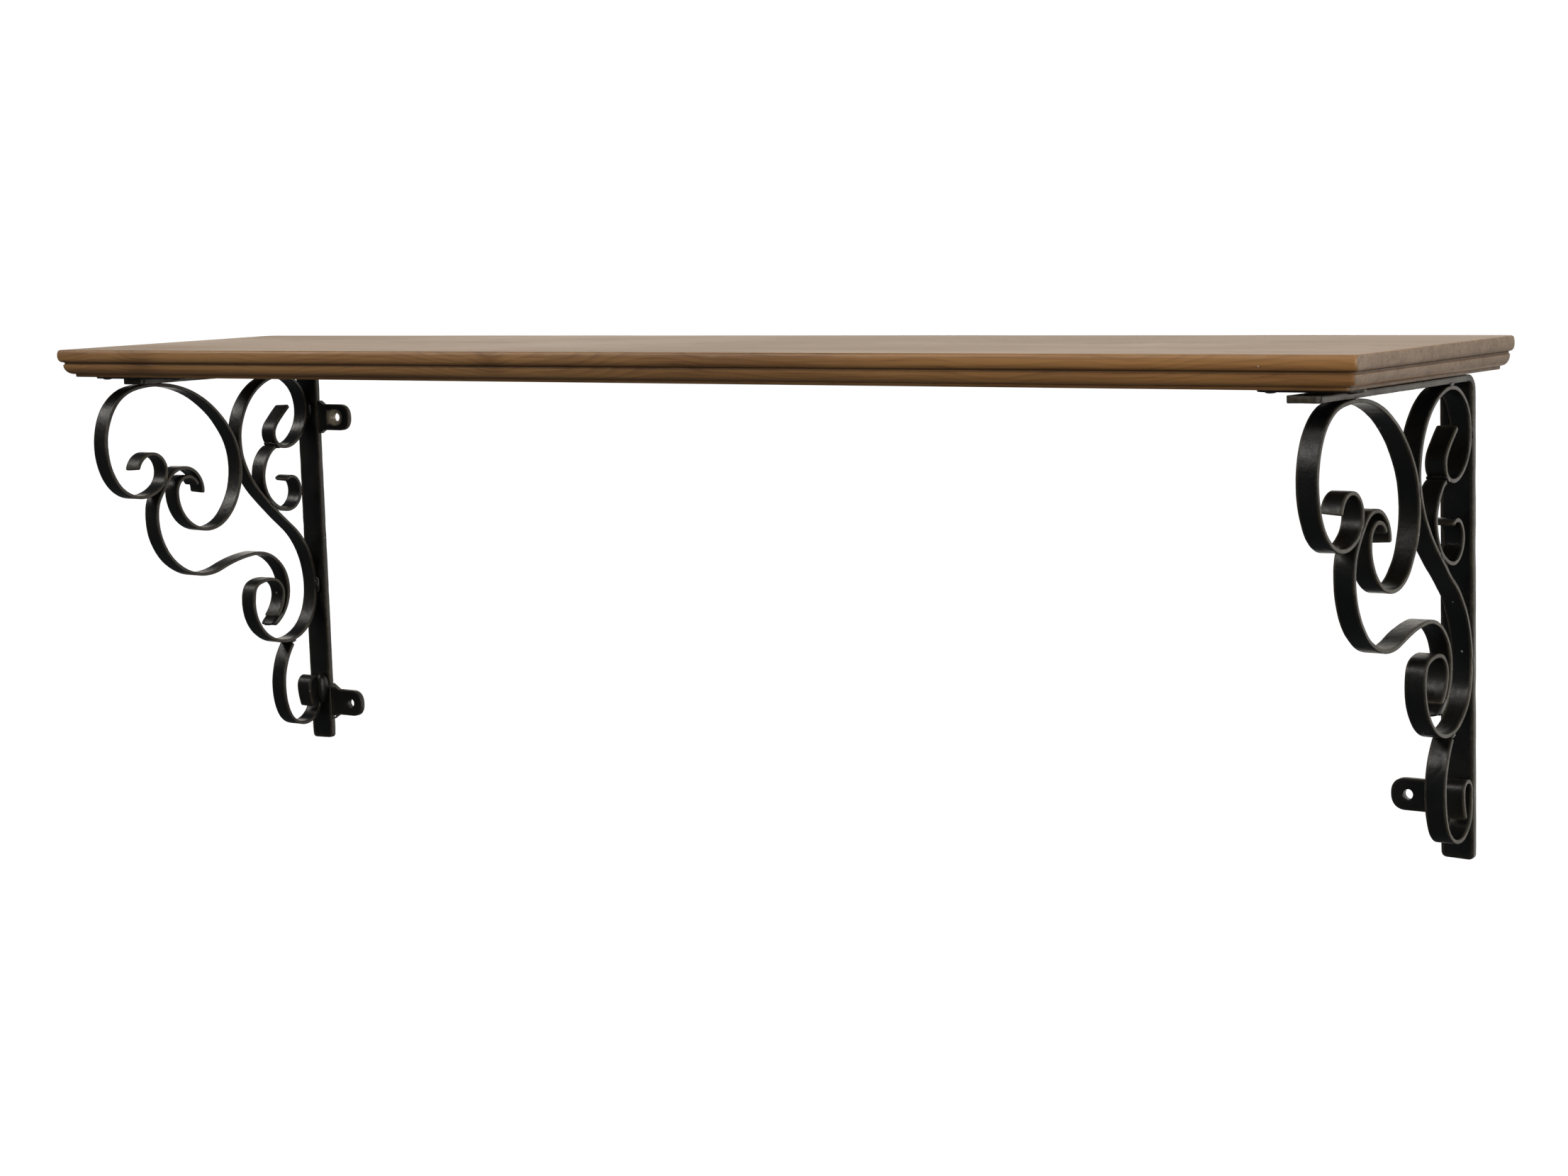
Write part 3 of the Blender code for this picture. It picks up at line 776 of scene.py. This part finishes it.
def holed_plate(outline, hole, thick, edge, sink):
    """Plate with one countersunk hole, flat from 0 to `thick` on its axis.

    Grid of (ring, angle) about the hole's axis: up the hole's wall, out over
    one face, round the outer edge and back over the other face. `outline` is
    the outer radius at each angle, and `sink` is (radius, depth) of the
    countersink. Returns local (u, v, w) and the radius.
    """
    angle = np.linspace(0, 2 * math.pi, len(outline), endpoint=False)
    wide, deep = sink
    rings = [
        (hole, 0.0),
        (hole, 0.3 * thick),
        (hole, thick - deep),
        (0.5 * (hole + wide), thick - 0.5 * deep),
        (wide, thick - 0.05 * MM),
        (wide + 0.15 * MM, thick),
    ]
    within = outline - edge
    rings += [(wide + (within - wide) * t, thick) for t in (0.35, 0.75)]
    turns = 0.5 * math.pi * np.arange(5) / 4
    for a in turns:
        rings.append((within + edge * math.sin(a), thick - edge + edge * math.cos(a)))
    for a in turns:
        rings.append((within + edge * math.cos(a), edge - edge * math.sin(a)))
    rings += [(hole + (within - hole) * t, 0.0) for t in (0.6, 0.1)]
    radius = np.array([r + 0 * angle for r, _ in rings])
    height = np.array([w + 0 * angle for _, w in rings])
    return radius * np.cos(angle), radius * np.sin(angle), height, radius


def ray_to_ear(angle, root, tip, half, fillet):
    """Distance from the hole's axis to the ear's outline, at each angle.

    The outline runs as points: the leg's edge, a hollow quarter circle of
    radius `fillet`, a straight side, and a superellipse round the tip; the
    distance at each angle is read off it by interpolation.
    """
    a = np.linspace(0, 0.5 * math.pi, 12)
    edge = np.linspace(0, half + fillet, 24)[:-1]
    u = [np.full_like(edge, root), root + fillet * (1 - np.cos(a))]
    v = [edge, half + fillet * (1 - np.sin(a))]
    side = np.linspace(root + fillet, tip - half, 40)[1:-1]
    u.append(side)
    v.append(np.full_like(side, half))
    end = np.linspace(0, 0.5 * math.pi, 24)
    u.append(tip - half + half * np.sin(end) ** 0.85)
    v.append(half * np.cos(end) ** 0.85)
    u, v = np.concatenate(u), np.concatenate(v)
    way = np.arctan2(v, u)
    order = np.argsort(way)
    return np.interp(np.abs(angle), way[order], np.hypot(u, v)[order])


def screw_mesh(name, at, shank, head, head_height, length):
    """Pan-head screw with a cross recess, pointing up from its seat.

    Radius and height run along a profile, and the recess sinks the head by a
    ridge of |cos 2a| that fades with the radius.
    """
    angle = np.linspace(0, 2 * math.pi, 48, endpoint=False)
    turns = np.linspace(0, 0.5 * math.pi, 10)[1:]
    radius = [head * math.sin(a) for a in turns]
    height = [-head_height * (0.15 + 0.85 * math.cos(a)) for a in turns]
    radius = [0.02 * head, 0.1 * head] + radius
    height = [-head_height, -head_height] + height
    radius += [head, head - 0.2 * MM, shank]
    height += [-0.1 * MM, 0.0, 0.0]
    count = 26
    for k in range(count):  # shallow threads
        radius.append(shank * (0.86 if k % 2 else 1.0))
        height.append(1.5 * MM + (length - 5.5 * MM) * k / (count - 1))
    radius += [0.45 * shank, 0.02 * shank]
    height += [length - 1.5 * MM, length]
    r = np.array(radius)[:, None] + 0 * angle
    z = np.array(height)[:, None] + 0 * angle
    cross = np.clip(np.abs(np.cos(2 * angle)) * 1.6 - 0.75, 0, 1)[None, :]
    deep = 1.1 * MM * cross * np.clip(1.5 - r / (0.42 * head), 0, 1)
    z = z + np.where(z < -0.3 * MM, deep, 0)
    points = np.stack(
        [at[0] + r * np.cos(angle), at[1] + r * np.sin(angle), at[2] + z], -1
    )
    return grid_mesh(name, points, caps=True)


def weld_mesh(
    name, centre, direction, half_width, half_long, half_thick, seed, square, shaken
):
    """Weld bead across two bars: a lumpy cushion longer along `direction`.

    A superellipsoid of the two angles, `square` its power, with its radius
    `shaken` by a sum of sines.
    """
    rng = np.random.default_rng(seed)
    v = np.linspace(-0.5 * math.pi, 0.5 * math.pi, 20)[1:-1, None]
    u = np.linspace(0, 2 * math.pi, 32, endpoint=False)[None, :]

    def power(w, e):
        return np.sign(w) * np.abs(w) ** e

    across = half_width * power(np.sin(v), square) + 0 * u
    ring = np.abs(np.cos(v)) ** (square - 0.1)
    t = half_long * ring * power(np.cos(u), 0.9)
    n = half_thick * ring * power(np.sin(u), 0.9)
    lump = 1 + shaken * ripple(rng, 8, (2.5 * MM, 6 * MM), across, t, n)
    across, t, n = across * (1 + 0.02 * (lump - 1)), t * lump, n * lump
    c, s = math.cos(direction), math.sin(direction)
    y = np.minimum(centre[1] + t * c - n * s, -0.2 * MM)
    points = np.stack([centre[0] + across, y, centre[2] + t * s + n * c], -1)
    marks = {"arris": np.clip(0.25 * (lump - 1) * 5, 0, 0.4) + 0 * across}
    return grid_mesh(name, points, caps=True, marks=marks)


def bracket_x(side):
    """Middle of the leg's width."""
    return centre_of(side + "_frame_bar").x


def scroll_x(side):
    """Middle of the scrolls' width."""
    return centre_of(side + "_scroll_front").x


# ---- operators

def settings():
    """The three groups of settings: plank, iron and stage."""
    scene = bpy.context.scene
    return scene.shelf_plank, scene.shelf_iron, scene.shelf_stage


def shared_material(name, make):
    """The material of that name, made when it is first asked for."""
    return bpy.data.materials.get(name) or make()


def iron_material():
    iron = settings()[1]
    name = "black_enamel_on_wrought_iron"
    return shared_material(name, lambda: enamelled_iron(iron, name))


class SHELF_OT_plank(Operator):
    """Make the moulded plank"""

    bl_idname = "shelf.plank"
    bl_label = "Plank"

    def execute(self, context):
        plank = settings()[0]
        mesh = plank_mesh(plank)
        merge_doubles(mesh)
        add_piece("shelf_plank", mesh, stained_pine(plank),
                  ["shelf_board"], 50)
        return {"FINISHED"}


class SHELF_OT_frame_bars(Operator):
    """Make the bent frame bar of each bracket"""

    bl_idname = "shelf.frame_bars"
    bl_label = "Frame bars"

    def execute(self, context):
        iron = settings()[1]
        for number, side in enumerate(SIDES):
            low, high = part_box(side + "_frame_bar")
            half = 0.5 * iron.frame_thick
            bend = 9.5 * MM
            arm = (high.y - half - bend) - low.y
            leg = (high.z - half - bend) - low.z
            quarter = 0.5 * math.pi * bend
            total = arm + quarter + leg
            along = stations(total, 1.8 * MM, 6 * MM)
            direction = -np.clip((along - arm) / bend, 0, 0.5 * math.pi)
            past = np.clip(-direction, 0, None)
            y = low.y + np.minimum(along, arm) + bend * np.sin(past)
            z = high.z - half - bend * (1 - np.cos(past))
            z = z - np.maximum(along - arm - quarter, 0)
            name = f"{side}_frame_bar_forged"
            mesh = swept_bar(
                name, (along, y, z, direction), high.x - low.x, iron.frame_thick,
                bracket_x(side), iron.hammering, 21 + number, 4 * MM, 0.8 * MM,
            )
            add_piece(name, mesh, iron_material(), [side + "_frame_bar"], 55)
        return {"FINISHED"}


class SHELF_OT_scrolls(Operator):
    """Make the bent scrolls of each bracket"""

    bl_idname = "shelf.scrolls"
    bl_label = "Scrolls"

    def execute(self, context):
        iron = settings()[1]
        for number, side in enumerate(SIDES):
            for k, which in enumerate(SCROLL_LINES):
                node = f"{side}_scroll_{which}"
                line = bent_line(SCROLL_LINES[which], 1.7)
                width = size_of(node).x
                mesh = swept_bar(
                    node + "_forged", line, width, iron.scroll_thick,
                    scroll_x(side), iron.hammering, 40 + 10 * number + k,
                    1.8 * MM, 0.55 * MM,
                )
                add_piece(node + "_forged", mesh, iron_material(), [node], 55)
        return {"FINISHED"}


EAR_HOLE, EAR_FILLET = 3.8 * MM, 5.5 * MM  # radii
EAR_SINK = {  # radius and depth: a countersink, and an eased edge
    "upper": (6.25 * MM, 2.45 * MM),
    "lower": (4.3 * MM, 0.5 * MM),
}


class SHELF_OT_ears(Operator):
    """Make the ears that the wall screws go through"""

    bl_idname = "shelf.ears"
    bl_label = "Ears"

    def execute(self, context):
        iron = settings()[1]
        angle = np.linspace(0, 2 * math.pi, 240, endpoint=False)
        folded = np.mod(angle + math.pi, 2 * math.pi) - math.pi
        ears = (("left", "upper", 35.0), ("left", "lower", 38.5),
                ("right", "lower", 38.5))
        for side, which, hole_at in ears:
            node = f"{side}_ear_{which}"
            low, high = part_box(node)
            inward = -SIDES[side]
            centre = bracket_x(side)
            ends = sorted((abs(low.x - centre), abs(high.x - centre)))
            root, tip = (end - hole_at * MM for end in ends)
            half = 0.5 * (high.z - low.z)
            outline = ray_to_ear(folded, root, tip, half, EAR_FILLET)
            u, v, w, radius = holed_plate(
                outline, EAR_HOLE, high.y - low.y, 0.7 * MM, EAR_SINK[which]
            )
            x = centre + inward * (hole_at * MM + u)
            points = np.stack([x, high.y - w, centre_of(node).z + v], -1)
            bare = np.clip((6.9 * MM - radius) / (0.5 * MM), 0, 1)
            near_edge = np.clip(1 - (outline[None, :] - radius) / (1.2 * MM), 0, 1)
            marks = {"arris": near_edge, "bare": bare}
            mesh = grid_mesh(node + "_forged", points, wrap_rows=True, marks=marks)
            if which == "upper":
                name = "black_enamel_with_bare_countersink"
                material = shared_material(
                    name, lambda: enamelled_iron(iron, name, bare=True)
                )
            else:
                material = iron_material()
            add_piece(node + "_forged", mesh, material, [node], 40)
        return {"FINISHED"}


class SHELF_OT_welds(Operator):
    """Lay the weld beads where the bars touch"""

    bl_idname = "shelf.welds"
    bl_label = "Welds"

    def execute(self, context):
        lines = {key: bent_line(line, 0.5) for key, line in SCROLL_LINES.items()}

        def meeting(first, second, part=(0.0, 1.0)):
            """Where two lines come closest, on a part of the second."""
            _, y1, z1, d1 = lines[first]
            _, y2, z2, _ = lines[second]
            cut = slice(int(part[0] * len(y2)), int(part[1] * len(y2)))
            gap = np.hypot(y1[:, None] - y2[cut], z1[:, None] - z2[cut])
            i, j = np.unravel_index(gap.argmin(), gap.shape)
            y = 0.5 * (y1[i] + y2[cut][j])
            return y, 0.5 * (z1[i] + z2[cut][j]), d1[i]

        beads = [  # y, z, way, half length in mm
            (*meeting("front", "middle"), 4.0),
            (*meeting("front", "main"), 7.0),
            (*meeting("main", "inner", (0.0, 0.2)), 4.0),
            (*meeting("main", "inner", (0.3, 1.0)), 5.0),
            (*meeting("main", "foot", (0.0, 0.2)), 4.5),
        ]
        thick = settings()[1].frame_thick
        upright = 0.5 * math.pi
        for which, part in (("main", (0, 0.4)), ("main", (0.6, 1)), ("foot", (0.4, 1))):
            _, y, z, _ = lines[which]
            cut = slice(int(part[0] * len(y)), int(part[1] * len(y)))
            touch = z[cut][y[cut].argmax()]
            beads.append((-thick - 0.1 * MM, touch, upright, 5.5))
        for which in ("front", "main"):
            _, y, z, _ = lines[which]
            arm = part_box("left_frame_bar")[1].z - thick
            beads.append((y[z.argmax()], arm - 0.1 * MM, 0.0, 5.0))
        # Each shape is y, z, way, half length, half thickness, and how far it
        # stands beside the scroll: 0 is across it.
        shapes = [(*bead, 1.5, 0.0) for bead in beads]
        # The weld that fills the two curl ends into one mass.
        shapes.append((*meeting("middle", "main", (0.8, 1.0)), 9.0, 2.3, 0.0))
        # Deposits on the leg beside the scroll, the largest at the left foot.
        for _, z, _, _ in beads[5:8]:
            shapes.append((-thick - 1.6 * MM, z, upright, 8.0, 2.0, 1.0))
        boss = (-thick - 3.4 * MM, beads[7][1] - MM, upright, 14.5, 6.6, 2.0)
        for number, side in enumerate(SIDES):
            width, way_in = size_of(side + "_scroll_front").x, -SIDES[side]
            laid = shapes + [boss] * (side == "left")
            for k, (y, z, way, long, deep, beside) in enumerate(laid):
                name = f"{side}_weld_{k + 1}"
                x, half, square = scroll_x(side), 0.5 * width + 0.35 * MM, 0.45
                if beside:
                    x += way_in * (0.5 * width + (beside - 1.0) * 2.5 * MM)
                    half, square = (1.2 + 2.6 * beside) * MM, 0.9
                shaken = 0.13 if long < 8.5 else 0.035
                mesh = weld_mesh(
                    name, (x, y, z), way, half, long * MM, deep * MM,
                    300 + 20 * number + k, square, shaken,
                )
                add_piece(name, mesh, iron_material())
        return {"FINISHED"}


class SHELF_OT_plates(Operator):
    """Make the cross plates under the plank"""

    bl_idname = "shelf.plates"
    bl_label = "Cross plates"

    def execute(self, context):
        for number, side in enumerate(SIDES):
            node = side + "_board_plate"
            low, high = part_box(node)
            rng = np.random.default_rng(80 + number)
            half_x, half_y = 0.5 * (high.x - low.x), 0.5 * (high.y - low.y)
            angle = np.linspace(0, 2 * math.pi, 200, endpoint=False)
            straight = half_x - half_y
            cx = np.clip(np.cos(angle) * 1e3, -1, 1) * straight
            section = [(0.0, 0), (0.5, 0), (0.96, 0), (0.99, 0.25), (1.0, 0.6),
                       (1.0, 1.9), (0.99, 2.25), (0.96, 2.5), (0.5, 2.5), (0.0, 2.5)]
            share, height = np.array(section).T[:, :, None]
            x = cx + share * half_y * np.cos(angle)
            y = share * half_y * np.sin(angle)
            y = y + 0.15 * MM * np.minimum(ripple(rng, 5, (0.01, 0.04), x), 0)
            centre = centre_of(node)
            z = low.z + height * MM + 0 * x
            points = np.stack([centre.x + x, centre.y + y, z], -1)
            name = node + "_forged"
            mesh = grid_mesh(name, points, marks={"arris": (share > 0.9) + 0 * x})
            merge_doubles(mesh)
            add_piece(name, mesh, iron_material(), [node], 40)
        return {"FINISHED"}


class SHELF_OT_screws(Operator):
    """Make the wood screws under the plank"""

    bl_idname = "shelf.screws"
    bl_label = "Screws"

    def execute(self, context):
        zinc = shared_material("zinc_plated_steel", zinc_plate)
        for side in SIDES:
            for number in (1, 2):
                node = f"{side}_plate_screw_{number}"
                low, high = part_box(node)
                centre = centre_of(node)
                head = 0.5 * (high.x - low.x)
                seat = low.z + 2.2 * MM
                mesh = screw_mesh(
                    node + "_threaded", (centre.x, centre.y, seat), 1.9 * MM,
                    head, 1.2 * MM, high.z - seat,
                )
                add_piece(node + "_threaded", mesh, zinc, [node], 35)
        return {"FINISHED"}


SHELF_MIDDLE = (0.0, -0.12, -0.1)
LAMPS = (  # name, place, target, size in metres, power in watts, colour
    ("left_window", (-1.9, -2.1, 1.75), SHELF_MIDDLE, (2.8, 0.8), 42.0,
     (1.0, 0.96, 0.9)),
    ("overhead", (0.4, -1.0, 3.0), SHELF_MIDDLE, (2.2, 1.4), 26.0,
     (1.0, 0.97, 0.93)),
    ("right_front", (2.7, -3.0, 0.5), SHELF_MIDDLE, (1.6, 1.6), 62.0,
     (1.0, 0.97, 0.93)),
    ("right_fill", (3.0, -0.5, 0.7), (0.5, -0.1, -0.1), (0.8, 1.4), 26.0,
     (0.9, 0.95, 1.0)),
    ("white_wall", (0.0, 3.0, 0.0), (0.0, 0.0, 0.0), (9.0, 4.4), 150.0,
     (1.0, 0.94, 0.86)),
)
CAMERA_PLACE = (1.456, -2.033, 0.1112)
CAMERA_YAW, CAMERA_PITCH, CAMERA_ROLL = 0.6299, 0.1226, -0.0293  # radians


def area_light(name, place, target, size, power, colour):
    """Rectangular lamp at its place, turned to its target."""
    data = bpy.data.lights.new(name, "AREA")
    data.shape = "RECTANGLE"
    data.size, data.size_y = size
    data.energy = power
    data.color = colour
    lamp = bpy.data.objects.new(name, data)
    lamp.location = place
    aim = Vector(target) - Vector(place)
    lamp.rotation_euler = aim.to_track_quat("-Z", "Y").to_euler()
    lamp.visible_camera = False
    bpy.context.scene.collection.objects.link(lamp)


class SHELF_OT_stage(Operator):
    """Set up the floor, the light and the camera"""

    bl_idname = "shelf.stage"
    bl_label = "Stage"

    def execute(self, context):
        stage = settings()[2]
        scene = context.scene
        level = CAD_BOX[0][2] - stage.floor_drop
        reach = 30.0
        ways = ((-1, -1), (1, -1), (1, 1), (-1, 1))
        corners = [(reach * x, reach * y, level) for x, y in ways]
        mesh = bpy.data.meshes.new("floor")
        mesh.from_pydata(corners, [], [(0, 1, 2, 3)])
        mesh.materials.append(studio_paper())
        floor = bpy.data.objects.new("floor", mesh)
        floor.visible_glossy = False
        floor.visible_diffuse = False
        scene.collection.objects.link(floor)

        world = bpy.data.worlds.new("studio")
        world.use_nodes = True
        tree = world.node_tree
        tree.nodes.clear()
        white, sky = linear("FFFFFF"), linear("D6DAE0")
        seen = add(tree, "Background", {}, {"Color": white, "Strength": 1.05})
        given = add(tree, "Background", {}, {"Color": sky, "Strength": 0.09})
        ray = add(tree, "LightPath", {}, (), "Is Camera Ray")
        both = add(tree, "MixShader", {}, (ray, given, seen))
        add(tree, "OutputWorld", {}, {"Surface": both})
        scene.world = world

        for lamp in LAMPS:
            area_light(*lamp)

        data = bpy.data.cameras.new("camera")
        data.sensor_width = 36.0
        data.lens = stage.lens
        data.clip_end = 60.0
        camera = bpy.data.objects.new("camera", data)
        yaw, pitch, roll = CAMERA_YAW, CAMERA_PITCH, CAMERA_ROLL
        ahead = Vector((-math.sin(yaw) * math.cos(pitch),
                        math.cos(yaw) * math.cos(pitch), -math.sin(pitch)))
        side = Vector((math.cos(yaw), math.sin(yaw), 0.0))
        up = side.cross(ahead)
        right = math.cos(roll) * side + math.sin(roll) * up
        over = math.cos(roll) * up - math.sin(roll) * side
        turn = Matrix((right, over, -ahead)).transposed()
        camera.matrix_world = Matrix.Translation(CAMERA_PLACE) @ turn.to_4x4()
        scene.collection.objects.link(camera)
        scene.camera = camera
        scene.view_settings.view_transform = "Standard"
        return {"FINISHED"}


class SHELF_PT_panel(Panel):
    """Buttons that build the shelf"""

    bl_label = "Wall shelf"
    bl_idname = "SHELF_PT_panel"
    bl_space_type = "VIEW_3D"
    bl_region_type = "UI"
    bl_category = "Shelf"

    def draw(self, context):
        for group in settings():
            for key in group.bl_rna.properties.keys():
                if key not in ("rna_type", "name"):
                    self.layout.prop(group, key)
        for operator in OPERATORS:
            self.layout.operator(operator.bl_idname)


GROUPS = (PlankSettings, IronSettings, StageSettings)
OPERATORS = (
    SHELF_OT_plank, SHELF_OT_frame_bars, SHELF_OT_scrolls, SHELF_OT_ears,
    SHELF_OT_welds, SHELF_OT_plates, SHELF_OT_screws, SHELF_OT_stage,
)


def register():
    for cls in (*GROUPS, *OPERATORS, SHELF_PT_panel):
        bpy.utils.register_class(cls)
    bpy.types.Scene.shelf_plank = PointerProperty(type=PlankSettings)
    bpy.types.Scene.shelf_iron = PointerProperty(type=IronSettings)
    bpy.types.Scene.shelf_stage = PointerProperty(type=StageSettings)


def unregister():
    del bpy.types.Scene.shelf_plank
    del bpy.types.Scene.shelf_iron
    del bpy.types.Scene.shelf_stage
    for cls in reversed((*GROUPS, *OPERATORS, SHELF_PT_panel)):
        bpy.utils.unregister_class(cls)


def main():
    register()
    bpy.ops.shelf.plank()
    bpy.ops.shelf.frame_bars()
    bpy.ops.shelf.scrolls()
    bpy.ops.shelf.ears()
    bpy.ops.shelf.welds()
    bpy.ops.shelf.plates()
    bpy.ops.shelf.screws()
    bpy.ops.shelf.stage()


if __name__ == "__main__":
    main()
